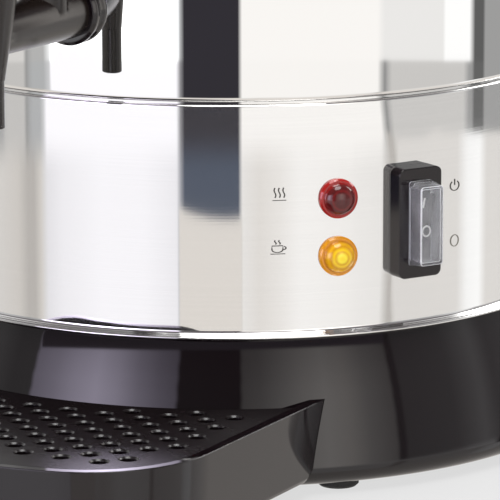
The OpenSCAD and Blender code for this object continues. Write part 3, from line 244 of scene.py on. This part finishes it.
def make_world():
    """Two tall soft boxes with a dark gap between them, a pale table below and a pale room behind."""
    world = bpy.data.worlds.new("studio")
    bpy.context.scene.world = world
    world.use_nodes = True
    g = Graph(world.node_tree)
    direction = g.node("ShaderNodeTexCoord").outputs["Generated"]
    turned = g.node("ShaderNodeVectorRotate", rotation_type="Z_AXIS")
    g.put(turned.inputs["Vector"], direction)
    turned.inputs["Angle"].default_value = math.radians(-CAMERA_AZIMUTH)
    split = g.node("ShaderNodeSeparateXYZ")
    g.put(split.inputs[0], turned.outputs[0])
    x, y, z = split.outputs
    azimuth = g.math("DEGREES", g.math("ARCTAN2", x, g.math("MULTIPLY", y, -1)))
    height = g.math("DEGREES", g.math("ARCSINE", z))

    left, gap, middle, right = BOXES
    # at the height that the tank shows
    main = zones(g, azimuth, [
        (-110, ROOM), (-84.5, grey(0.48)), (-75.5, grey(0.80, 0.02)), (-73.2, grey(0.40)),
        (left, grey(0.56)), (gap, grey(2.3, -0.02)), (middle, GAP), (right, grey(1.16, 0.02)),
        (79, grey(1.02, 0.01)), (92.8, grey(1.25)), (99.5, DARK_STRIP), (118, grey(0.42)), (180, ROOM)])
    strip = zones(g, azimuth, [
        (-84.5, grey(0.48)), (-75.5, grey(0.66, 0.02)), (-73.2, grey(0.40)), (left, grey(0.55, -0.02)),
        (gap, pale(1.24)), (middle, GAP), (right, grey(1.14, 0.02)), (right + 2.8, grey(0.34)),
        (90, grey(0.71, 0.02)), (93, grey(0.42)), (99.5, grey(0.16)), (118, grey(0.42)), (180, ROOM)])
    # at the height that the band shows
    low = slopes(g, azimuth, [
        (-180, TABLE), (-90, grey(0.80, 0.03)), (-79, grey(0.72, 0.05)), (-74.5, grey(0.56, 0.05)),
        (-71.5, grey(0.56, 0.05)), (-69, grey(0.76, 0.05)), (left - 0.4, grey(0.80, 0.02)),
        (left + 0.4, pale(0.94)), (-60, pale(1.07)), (-45, pale(1.17)), (-30, pale(1.16)),
        (gap - 0.4, pale(1.03)), (gap + 0.4, GAP_LOW), (middle - 0.2, GAP_LOW),
        (middle + 0.6, grey(0.96, 0.02)), (10, grey(0.88, 0.04)), (17, grey(0.97, 0.03)),
        (24, grey(1.10, 0.015)), (40, grey(1.06, 0.02)), (right - 0.4, grey(0.97, 0.02)),
        (right + 0.4, grey(0.58, 0.05)), (57, grey(0.58, 0.05)), (58, grey(0.85, 0.03)),
        (86, grey(0.86, 0.03)), (91, grey(1.15)), (97, grey(1.2)), (101, grey(0.86, 0.03)),
        (130, grey(0.85, 0.03)), (180, TABLE)])
    # the table's edge in the gap bows down in its middle
    table_bow = g.bow(azimuth, TABLE_MIDDLE, TABLE_BOW)
    table_edge = g.math("ADD", table_bow, TABLE_EDGE)
    in_gap = g.math("MULTIPLY", g.step(azimuth, gap - 1, gap), g.step(azimuth, middle + 1, middle))
    below_edge = g.step(height, table_edge, g.math("SUBTRACT", table_edge, LIMIT_BLUR))
    on_table = g.math("MULTIPLY", below_edge, in_gap)
    low = g.mix(on_table, low, TABLE)
    on_right = g.step(azimuth, right, right + 0.5)
    blend_end = g.math("ADD", g.math("MULTIPLY", on_right, BLEND_RIGHT), BLEND_LOW)
    front = g.mix(g.step(height, blend_end, STRIP_LOW), low, strip)
    front = g.mix(g.step(height, TANK_LOW, TANK_LOW + LIMIT_BLUR), front, main)
    fading = g.math("SUBTRACT", 1, g.math("MULTIPLY", g.step(height, 12, 26), 0.32))
    upper = g.mix(1.0, upper_front(g, azimuth), fading, "MULTIPLY")
    front = g.mix(g.step(height, -8, -3), front, upper)
    # the boxes' top edges bow down towards their outer ends, and the room beside goes up further
    by_boxes = g.math("MULTIPLY", g.step(azimuth, left - 3, left), g.step(azimuth, right + 4, right + 1))
    drop = g.math("SUBTRACT", BOX_TOP_DROP, g.bow(azimuth, BOX_MIDDLE, BOX_BOW))
    top = g.math("ADD", ROOM_TOP, g.math("MULTIPLY", by_boxes, drop))
    over_top = g.math("SUBTRACT", height, top)
    front = g.mix(g.step(over_top, 0, 0.7), front, ABOVE_BOXES)
    front = g.mix(g.step(over_top, 1.5, 6), front, CEILING)
    behind = g.step(g.math("ABSOLUTE", azimuth), 108, 120)
    colour = g.mix(behind, front, BEHIND)
    colour = g.mix(g.step(height, 55, 70), colour, OVERHEAD)
    colour = g.mix(g.math("MULTIPLY", behind, g.step(height, -2, -8)), colour, TABLE)
    # a bright light behind and to the right
    rim_sides = g.math("MULTIPLY", g.step(azimuth, 106, 112), g.step(azimuth, 172, 166))
    rim_height = g.math("MULTIPLY", g.step(height, 14, 18), g.step(height, 46, 40))
    colour = g.mix(g.math("MULTIPLY", rim_sides, rim_height), colour, RIM_LIGHT)
    colour = g.mix(g.step(height, -26, -36), colour, TABLE)

    light = g.node("ShaderNodeBackground")
    g.put(light.inputs["Color"], colour)
    white = g.node("ShaderNodeBackground")
    white.inputs["Color"].default_value = (1, 1, 1, 1)
    path = g.node("ShaderNodeLightPath")
    both = g.node("ShaderNodeMixShader")
    g.put(both.inputs[0], path.outputs["Is Camera Ray"])
    g.put(both.inputs[1], light.outputs[0])
    g.put(both.inputs[2], white.outputs[0])
    g.put(g.node("ShaderNodeOutputWorld").inputs[0], both.outputs[0])


FLOOR_REACH = 6
FLOOR_OWN_WHITE = 0.86


def make_floor():
    """A pale floor that casts no reflection in the urn, because the world's table does."""
    mesh = bpy.data.meshes.new("floor")
    r = FLOOR_REACH
    corners = [(-r, -r, 0), (r, -r, 0), (r, r, 0), (-r, r, 0)]
    mesh.from_pydata(corners, [], [(0, 1, 2, 3)])
    floor = bpy.data.objects.new("floor", mesh)
    bpy.context.scene.collection.objects.link(floor)
    made = bpy.data.materials.new("floor")
    made.use_nodes = True
    g = Graph(made.node_tree)
    matt = g.node("ShaderNodeBsdfDiffuse")
    g.put(matt.inputs["Color"], grey(0.72))
    pale_white = g.node("ShaderNodeEmission")
    g.put(pale_white.inputs["Color"], grey(0.80))
    # to the camera the floor is mostly its own pale white, with a faint share of the shadow on it
    both = g.node("ShaderNodeMixShader")
    path = g.node("ShaderNodeLightPath")
    g.put(both.inputs[0], g.math("MULTIPLY", path.outputs["Is Camera Ray"], FLOOR_OWN_WHITE))
    g.put(both.inputs[1], matt.outputs[0])
    g.put(both.inputs[2], pale_white.outputs[0])
    g.put(g.node("ShaderNodeOutputMaterial").inputs[0], both.outputs[0])
    mesh.materials.append(made)
    floor.visible_glossy = False


def outward_and_aside(azimuth):
    """Level unit vectors away from the urn's axis at an azimuth, and towards higher azimuths."""
    angle = math.radians(azimuth)
    return Vector((math.sin(angle), -math.cos(angle), 0)), Vector((math.cos(angle), math.sin(angle), 0))


GLINT_SIZE = 0.09
GLINT_POWER = 0.3
GLINT_FORWARD = 0.5
GLINT_HEIGHT = 1.7


def make_lamps():
    """One wide overhead lamp, and three small ones in a row whose glints show on edges and in holes."""
    spots = [("overhead", 1.2, 22, (0.5, -0.6, 1.8))]
    forward, aside = outward_and_aside(CAMERA_AZIMUTH)
    for name, sideways in (("glint_left", -0.24), ("glint_middle", 0.0), ("glint_right", 0.24)):
        place = forward * GLINT_FORWARD + aside * sideways + Vector((0, 0, GLINT_HEIGHT))
        spots.append((name, GLINT_SIZE, GLINT_POWER, place))
    for name, size, energy, place in spots:
        data = bpy.data.lights.new(name, "AREA")
        data.shape = "DISK"
        data.size = size
        data.energy = energy
        lamp = bpy.data.objects.new(name, data)
        bpy.context.scene.collection.objects.link(lamp)
        lamp.location = place
        lamp.rotation_euler = (Vector((0, 0, 0.1)) - lamp.location).to_track_quat("-Z", "Y").to_euler()


# ---- materials ----
def material(name, colour, roughness=0.4, metallic=0.0, grain=(60, 60, 60), vary=0.06,
             rough_vary=0.04, bump=0.05, bump_depth=0.0002, edge=0.0, **sockets):
    """A principled surface whose colour, roughness and bump all follow a noise stretched by grain.
    Its edges are rounded to a radius of edge millimetres."""
    made = bpy.data.materials.new(name)
    made.use_nodes = True
    g = Graph(made.node_tree)
    shader = g.node("ShaderNodeBsdfPrincipled")
    fine = g.noise(g.stretched(grain), 1.0, 4)
    if callable(colour):
        g.put(shader.inputs["Base Color"], colour(g, fine))
    else:
        dark = tuple(c * (1 - vary) for c in colour)
        light = tuple(min(1, c * (1 + vary)) for c in colour)
        g.put(shader.inputs["Base Color"], g.mix(fine, dark, light))
    spread = g.math("MULTIPLY", g.math("SUBTRACT", fine, 0.5), 2 * rough_vary)
    g.put(shader.inputs["Roughness"], g.math("ADD", spread, roughness))
    shader.inputs["Metallic"].default_value = metallic
    normal = None
    if edge:
        rounded = g.node("ShaderNodeBevel", samples=6)
        rounded.inputs["Radius"].default_value = edge * MM
        normal = rounded.outputs[0]
    if bump:
        relief = g.node("ShaderNodeBump")
        relief.inputs["Strength"].default_value = bump
        relief.inputs["Distance"].default_value = bump_depth
        g.put(relief.inputs["Height"], fine)
        if normal:
            g.put(relief.inputs["Normal"], normal)
        normal = relief.outputs[0]
    if normal:
        g.put(shader.inputs["Normal"], normal)
    for key, value in sockets.items():
        g.put(shader.inputs[key.replace("_", " ")], value)
    g.put(g.node("ShaderNodeOutputMaterial").inputs[0], shader.outputs[0])
    return made


def lens_painted_light(node, rings):
    """The colour of a lamp's lens by the distance from its axis, with painted light and shade in rings. A
    ring is (radius in mm, colour).
    """
    low, high = (Vector(corner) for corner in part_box(node))
    centre = (low + high) / 2
    axis = Vector((centre.x, centre.y, 0)).normalized()
    reach = rings[-1][0] * MM

    def colour(g, fine):
        away = g.vector("SUBTRACT", g.place(), tuple(centre))
        along = g.vector("DOT_PRODUCT", away, tuple(axis))
        out = g.vector("SUBTRACT", away, scaled(g, tuple(axis), along))
        share = g.math("DIVIDE", g.vector("LENGTH", out), reach)
        share = g.math("ADD", share, g.math("MULTIPLY", g.math("SUBTRACT", fine, 0.5), 0.10))
        return g.ramp(share, [(radius * MM / reach, shade) for radius, shade in rings])
    return colour


def scaled(g, vector, amount):
    """A vector times a number."""
    made = g.node("ShaderNodeVectorMath", operation="SCALE")
    g.put(made.inputs[0], vector)
    g.put(made.inputs["Scale"], amount)
    return made.outputs["Vector"]


# how far the painted highlight reaches over the cap's rounded edges, how white it is, and the cap's own
# haze
CAP_EDGE = 0.9
CAP_EDGE_HIGHLIGHT = 0.92
CAP_HAZE = 0.24


def clear_silicone():
    """A clear moulded cap: hazy in its thickness, and whitish along its rounded edges as a painted
    highlight.
    """
    made = material("clear_silicone", (0.93, 0.94, 0.96), 0.05, 0, (200, 200, 200), 0.02, 0.03, 0.02,
                    edge=0.5, IOR=1.25)
    g = Graph(made.node_tree, clear=False)
    shader = next(n for n in made.node_tree.nodes if n.type == "BSDF_PRINCIPLED")
    rounded = g.node("ShaderNodeBevel", samples=8)
    rounded.inputs["Radius"].default_value = CAP_EDGE * MM
    flat = g.node("ShaderNodeNewGeometry").outputs["True Normal"]
    bend = g.math("SUBTRACT", 1, g.vector("DOT_PRODUCT", rounded.outputs[0], flat))
    edge = g.step(bend, 0.02, 0.16)
    haze = g.math("MULTIPLY", g.noise(g.stretched((260, 260, 90)), 1.0, 3), CAP_HAZE)
    # the rounded edges are made whitish and less clear as a painted highlight, over the cap's own random
    # haze
    haze_and_edge_highlight = g.math("MAXIMUM", g.math("MULTIPLY", edge, CAP_EDGE_HIGHLIGHT), haze)
    g.put(shader.inputs["Transmission Weight"], g.math("SUBTRACT", 1, haze_and_edge_highlight))
    return made


# Colours by the distance from the lens's axis in millimetres. On the red lens, the bright outer ring is
# painted light caught in the lens and the dark middle is painted shade from the hollow inside. On the
# amber lens, the bright and dark rings are painted highlights and shade on its ridges.
RED_LENS_PAINTED_LIGHT = [(0, (0.075, 0.010, 0.010)), (2.6, (0.085, 0.011, 0.011)), (3.2, (0.16, 0.012, 0.012)),
             (3.7, (0.085, 0.010, 0.010)), (4.9, (0.12, 0.010, 0.010)), (5.4, (0.30, 0.012, 0.010)),
             (6.7, (0.42, 0.015, 0.012))]
AMBER_LENS_PAINTED_LIGHT = [(0, (0.95, 0.70, 0.02)), (1.4, (0.95, 0.78, 0.04)), (2.2, (0.72, 0.38, 0.01)),
               (2.9, (0.92, 0.62, 0.02)), (3.8, (0.66, 0.30, 0.01)), (4.6, (0.86, 0.46, 0.01)),
               (5.2, (0.62, 0.24, 0.01)), (6.7, (0.80, 0.33, 0.01))]


def make_materials():
    """One material for each slot. The values after a colour are, in order, the roughness, how metallic
    it is, the grain, and how much colour and roughness vary with it, and then the bump."""
    steel = (0.80, 0.795, 0.785)
    looks = {
        "polished_steel": (steel, 0.015, 1.0, (12, 12, 3), 0.015, 0.005, 0.0),
        "satin_steel": (steel, 0.022, 0.97, (9, 9, 2600), 0.03, 0.01, 0.012, 0.00003),
        "plain_steel": ((0.66, 0.65, 0.64), 0.25, 1.0, (60, 60, 400), 0.06, 0.05, 0.05),
        "black_gloss": ((0.0062, 0.0034, 0.0044), 0.035, 0, (40, 40, 40), 0.1, 0.01, 0.006),
        "black_phenolic": ((0.012, 0.010, 0.010), 0.24, 0, (90, 90, 90), 0.1, 0.04, 0.06),
        "black_rubber": ((0.02, 0.02, 0.02), 0.7, 0, (500, 500, 500), 0.2, 0.1, 0.3),
        "silicone": ((0.75, 0.74, 0.70), 0.4, 0, (200, 200, 200)),
        "gauge_glass": ((0.93, 0.97, 0.98), 0.03, 0, (20, 20, 20), 0.01, 0.01, 0.0),
        # both lenses' ring colours carry painted light and shade
        "red_lens": (lens_painted_light("heating_lamp_lens", RED_LENS_PAINTED_LIGHT), 0.06, 0, (300, 300, 300),
                     0.1, 0.02, 0.02),
        "amber_lens": (lens_painted_light("keep_warm_lamp_lens", AMBER_LENS_PAINTED_LIGHT), 0.08, 0, (300, 300, 300),
                       0.1, 0.02, 0.02),
        "white_plastic": ((0.80, 0.79, 0.75), 0.4, 0, (200, 200, 200)),
        "aluminium": ((0.77, 0.77, 0.78), 0.35, 1.0, (80, 80, 80), 0.06, 0.06, 0.05),
        "heater_sheath": ((0.30, 0.28, 0.26), 0.4, 1.0, (100, 100, 100), 0.15),
        "ceramic": ((0.83, 0.81, 0.76), 0.5, 0, (200, 200, 200)),
        "wire_insulation": ((0.45, 0.06, 0.05), 0.5, 0, (300, 300, 300)),
    }
    more = {
        "black_gloss": {"edge": 0.7},
        "black_phenolic": {"edge": 0.6},
        "gauge_glass": {"Transmission_Weight": 1.0, "IOR": 1.47},
        "red_lens": {"edge": 0.4},
        "amber_lens": {"edge": 0.4},
    }
    made = {name: material(name, *values, **more.get(name, {})) for name, values in looks.items()}
    made["clear_silicone"] = clear_silicone()
    return made


def make_finishes():
    """Finishes of single nodes that share a slot with glossier neighbours."""
    satin_black = material("tap_black", (0.011, 0.0075, 0.006), 0.2, 0, (90, 90, 90), 0.12, 0.05, 0.02,
                           edge=0.5)
    grille = material("grille_black", (0.0070, 0.0042, 0.0048), 0.27, 0, (60, 60, 60), 0.1, 0.03, 0.02,
                      edge=0.22)
    return {"tap_body": satin_black, "tap_bonnet": satin_black, "tap_lever": satin_black,
            "drip_grille": grille}


JOIN_WITHIN = 0.005
SHARP_FROM = 28


def smooth_edges():
    """A node group that joins a CAD mesh's faces and keeps only its steeper edges sharp."""
    group = bpy.data.node_groups.new("smooth_edges", "GeometryNodeTree")
    for direction in ("INPUT", "OUTPUT"):
        group.interface.new_socket("Geometry", in_out=direction, socket_type="NodeSocketGeometry")
    g = Graph(group)
    merged = g.node("GeometryNodeMergeByDistance")
    g.put(merged.inputs["Geometry"], g.node("NodeGroupInput").outputs[0])
    merged.inputs["Distance"].default_value = JOIN_WITHIN * MM
    bare = g.node("GeometryNodeRemoveAttribute")
    g.put(bare.inputs["Geometry"], merged.outputs[0])
    bare.inputs["Name"].default_value = "custom_normal"
    faces = g.node("GeometryNodeSetShadeSmooth", domain="FACE")
    g.put(faces.inputs["Geometry"], bare.outputs[0])
    angle = g.node("GeometryNodeInputMeshEdgeAngle").outputs["Unsigned Angle"]
    edges = g.node("GeometryNodeSetShadeSmooth", domain="EDGE")
    g.put(edges.inputs["Geometry"], faces.outputs[0])
    compare = g.node("FunctionNodeCompare", data_type="FLOAT", operation="LESS_THAN")
    g.put(compare.inputs[0], angle)
    compare.inputs[1].default_value = math.radians(SHARP_FROM)
    g.put(edges.inputs["Shade Smooth"], compare.outputs[0])
    g.put(g.node("NodeGroupOutput").inputs[0], edges.outputs[0])
    return group


def dress_frame(materials, finishes):
    """Gives every CAD node the material of its own slot, or its own finish, and smooth curved faces."""
    group = smooth_edges()
    for part in frame["record"]["subparts"]:
        name = part["node"]
        slots = nodes[name].data.materials
        slots.clear()
        slots.append(finishes.get(name, materials[part["material_slot"]]))
        joined = nodes[name].modifiers.new("smooth_edges", "NODES")
        joined.node_group = group
        weighted = nodes[name].modifiers.new("weighted", "WEIGHTED_NORMAL")
        weighted.mode = "FACE_AREA_WITH_ANGLE"
        weighted.weight = 100
        weighted.keep_sharp = True


# ---- print on the panel and marks on the rocker: a pen that is thick in upright lines, thin across ----
PRINT_DEPTH = 0.06
PRINT_OUT = 0.03
PEN_THICK = 0.46
PEN_THIN = 0.24
MARK_PEN = 0.6


def arc(cx, cy, rx, ry, start, end, steps=16):
    """Points along an ellipse, angles in degrees from +x."""
    turns = [math.radians(start + (end - start) * i / steps) for i in range(steps + 1)]
    return [(cx + rx * math.cos(t), cy + ry * math.sin(t)) for t in turns]


def wave(x, low, high, swing, steps=12):
    """An upright wavy line, as heat or steam is drawn."""
    shares = [i / steps for i in range(steps + 1)]
    return [(x + swing * math.sin(2 * math.pi * share), low + (high - low) * share) for share in shares]


RING = [arc(0.36, 0.5, 0.33, 0.5, 0, 360, 28)]
BAR = [[(0, 0), (0, 1)], [(0.01, 0), (0.01, 1)]]
POWER = [arc(0.5, 0.45, 0.45, 0.45, 125, 415, 26), [(0.5, 0.5), (0.5, 1.05)]]
HEAT = [wave(x, 0.25, 1.0, 0.07) for x in (0.2, 0.55, 0.9)] + [[(0, 0.05), (1.1, 0.05)]]
CUP = [[(0.1, 0.62), (0.1, 0.3)] + arc(0.45, 0.3, 0.35, 0.25, 180, 360) + [(0.8, 0.62), (0.1, 0.62)],
       arc(0.8, 0.42, 0.2, 0.14, 70, -80), [(0, -0.08), (0.95, -0.08)],
       wave(0.32, 0.75, 1.1, 0.05), wave(0.58, 0.75, 1.1, 0.05)]


def draw(name, strokes, place, width, height, thick, thin):
    """A piece made of pen strokes. The strokes' own size is made width by height, in millimetres, and
    place turns (across, up, out) from the drawing's centre into a point in metres."""
    low = [min(p[i] for s in strokes for p in s) for i in (0, 1)]
    high = [max(p[i] for s in strokes for p in s) for i in (0, 1)]
    scale = [size / (top - bottom) for size, top, bottom in zip((width, height), high, low)]
    verts, faces = [], []
    for stroke in strokes:
        line = [Vector([(p[i] - (low[i] + high[i]) / 2) * scale[i] for i in (0, 1)]) for p in stroke]
        closed = (line[0] - line[-1]).length < 1e-6
        first = len(verts)
        count = len(line) - 1 if closed else len(line)
        for i in range(count):
            before = line[i - 1] if i else line[-2] if closed else line[i]
            after = line[i + 1] if i + 1 < len(line) else line[i]
            along = (after - before).normalized()
            half = (thin + (thick - thin) * abs(along.y)) / 2
            side = Vector((-along.y, along.x)) * half
            for sign in (1, -1):
                for out in (PRINT_DEPTH, 0):
                    verts.append(place(line[i].x + sign * side.x, line[i].y + sign * side.y, out))
        rings = count if closed else count - 1
        for i in range(rings):
            a = first + 4 * i
            b = first + 4 * ((i + 1) % count)
            faces += [(a, a + 2, b + 2, b), (a + 1, b + 1, b + 3, a + 3), (a, b, b + 1, a + 1),
                      (a + 2, a + 3, b + 3, b + 2)]
        if not closed:
            last = first + 4 * (count - 1)
            faces += [(first, first + 1, first + 3, first + 2), (last, last + 2, last + 3, last + 1)]
    mesh = bpy.data.meshes.new(name)
    mesh.from_pydata(verts, [], faces)
    piece = bpy.data.objects.new(name, mesh)
    bpy.context.scene.collection.objects.link(piece)
    return piece


# ---- sizes in millimetres and angles in degrees that the frame has too ----
BODY_R = 115.0


def on_panel(azimuth, z):
    """A place function for the control band, centred at an azimuth round the urn and a height."""
    def place(across, up, out):
        angle = math.radians(azimuth) + across / BODY_R
        radius = BODY_R + PRINT_OUT + out
        return Vector((radius * math.sin(angle), -radius * math.cos(angle), z + up)) * MM
    return place


SWITCH_AZIMUTH = 58.0
SWITCH_Z = 88.5
# the rocker's pin, its tilt at rest and the two slopes of its face, as in the frame
ROCKER_PIN_OUT = 4.2
ROCKER_TILT = 8.0
ROCKER_HALF = 10.3
ROCKER_FACE = 3.8
ROCKER_DIP = 1.4


def on_rocker(aside_pin, height):
    """A place function for the rocker's face, centred beside its pin and at a height above it."""
    def place(across, up, out):
        y = height + up
        rise = ROCKER_FACE - ROCKER_DIP * (1 - abs(y) / ROCKER_HALF) + out + PRINT_OUT
        tilt = math.radians(ROCKER_TILT)
        v = y * math.cos(tilt) - rise * math.sin(tilt)
        n = y * math.sin(tilt) + rise * math.cos(tilt) + ROCKER_PIN_OUT
        outward, aside = outward_and_aside(SWITCH_AZIMUTH)
        return (outward * (BODY_R + n) + aside * (across + aside_pin) + Vector((0, 0, SWITCH_Z + v))) * MM
    return place


def add_print(materials):
    """Symbols beside the switch and the lamps, and the marks on the rocker."""
    ink = material("panel_ink", (0.055, 0.052, 0.045), 0.5, 0, (900, 900, 900), 0.25, 0.05, 0.0)
    worn = material("panel_ink_worn", (0.22, 0.21, 0.18), 0.5, 0, (900, 900, 900), 0.25, 0.05, 0.0)
    # name, strokes, azimuth round the urn, height, the symbol's own width and height, ink
    symbols = (("label_on", POWER, 67.35, 98.1, 4.0, 3.9, ink),
               ("label_off", RING, 67.4, 79.0, 3.6, 3.9, worn),
               ("label_heating", HEAT, 34.6, 100.4, 4.6, 4.2, ink),
               ("label_keep_warm", CUP, 34.4, 82.6, 5.2, 4.6, ink))
    for name, strokes, azimuth, z, width, height, finish in symbols:
        label = draw(name, strokes, on_panel(azimuth, z), width, height, PEN_THICK, PEN_THIN)
        label.data.materials.append(finish)
        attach(label, "urn_body")
    # name, strokes, place beside the rocker's pin and above it, width and height
    marks = (("rocker_o", RING, 1.7, -2.6, (3.1, 3.4)), ("rocker_i", BAR, -0.8, 7.7, (0.1, 3.6)))
    for name, strokes, aside_pin, height, size in marks:
        mark = draw(name, strokes, on_rocker(aside_pin, height), *size, MARK_PEN, MARK_PEN)
        mark.data.materials.append(materials["white_plastic"])
        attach(mark, "rocker_set")


make_camera()
make_world()
make_floor()
make_lamps()
materials = make_materials()
dress_frame(materials, make_finishes())
add_print(materials)

scene = bpy.context.scene
scene.view_settings.view_transform = "Standard"
